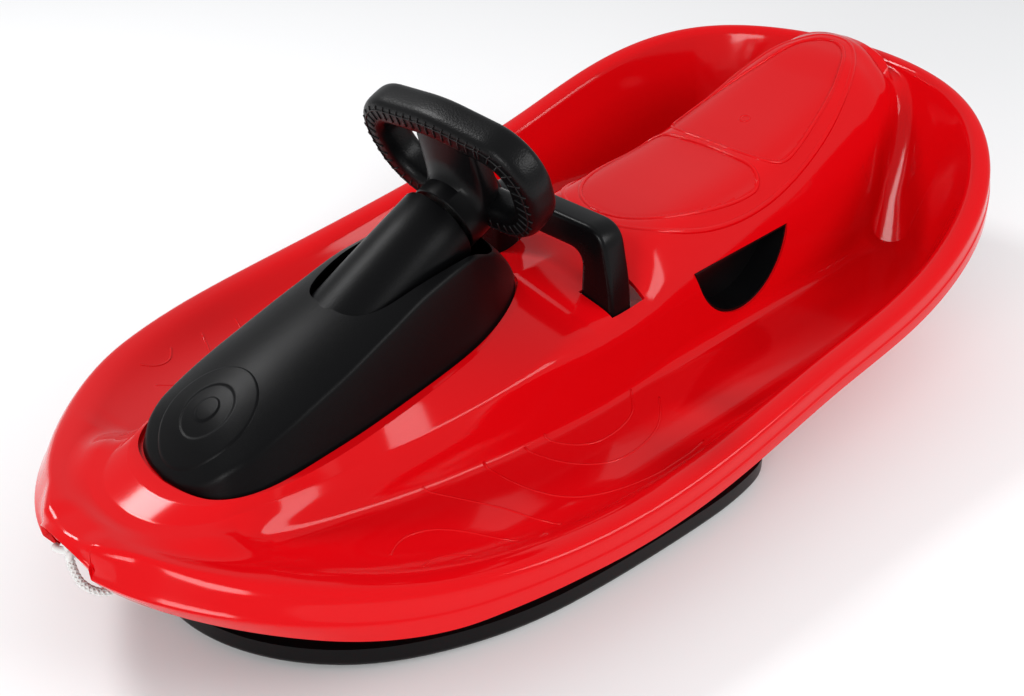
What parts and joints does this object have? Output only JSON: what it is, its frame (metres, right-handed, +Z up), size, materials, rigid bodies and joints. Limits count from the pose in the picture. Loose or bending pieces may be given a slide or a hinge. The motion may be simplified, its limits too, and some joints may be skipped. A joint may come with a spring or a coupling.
{
  "type": "steering sled",
  "caption": "Plastic snow sled with a moulded tub and seat, a steering wheel that turns a wide front ski, a pull-up claw brake and a short knotted tow loop.",
  "frame": {"origin": "on the ground under the middle of the hull's length and width", "axes": "+X forward to the nose, +Y to the rider's left, +Z up"},
  "size_m": [1.0416, 0.5556, 0.3652],
  "materials": {
    "hull_red": "gloss",
    "cowl_black": "fine grained",
    "trim_black": "satin",
    "wheel_cover": "soft grain",
    "bush_grey": "satin",
    "steel": "plated",
    "cord": "braided"
  },
  "bodies": {
    "sled": {"hull_shell": "hull_red", "column_cowl": "cowl_black", "cowl_screws": "steel", "column_sleeve": "cowl_black", "sleeve_screws": "steel", "upper_shaft_bush": "bush_grey", "lower_shaft_bush": "bush_grey", "kingpin_housing": "trim_black", "housing_screws": "steel", "kingpin": "steel", "thrust_washer": "bush_grey", "kingpin_washer": "steel", "kingpin_nut": "steel", "brake_axle": "steel", "axle_caps": "steel", "left_grip_cup": "trim_black", "right_grip_cup": "trim_black", "tow_cord": "cord", "tow_knot": "cord"},
    "steering": {"steering_shaft": "steel", "shaft_retaining_ring": "steel", "steering_crank": "steel", "crank_pin": "steel", "wheel_armature": "trim_black", "wheel_grip_cover": "wheel_cover", "wheel_bolt": "steel", "wheel_hub_cap": "trim_black"},
    "ski": {"front_ski": "trim_black", "ski_tiller": "trim_black", "tiller_screws": "steel", "ski_bush": "bush_grey"},
    "brake": {"brake_lever": "trim_black", "brake_claws": "steel", "claw_rivets": "steel"}
  },
  "joints": [
    {"name": "steering_turn", "type": "hinge", "parent": "sled", "child": "steering", "pos_m": [0.14, 0, 0.254], "axis": [-0.9135, 0, 0.4067], "range_deg": [-45, 45]},
    {"name": "ski_turn", "type": "hinge", "parent": "sled", "child": "ski", "pos_m": [0.372, 0, 0.026], "axis": [0, 0, 1], "range_deg": [-10, 10]},
    {"name": "brake_pull", "type": "hinge", "parent": "sled", "child": "brake", "pos_m": [0.001, 0, 0.125], "axis": [0, -1, 0], "range_deg": [0, 18], "stiffness_Nm_per_rad": 2, "springref_deg": -34.38}
  ],
  "couplings": [
    {"joint": "ski_turn", "follows": "steering_turn", "ratio": 0.2222}
  ]
}
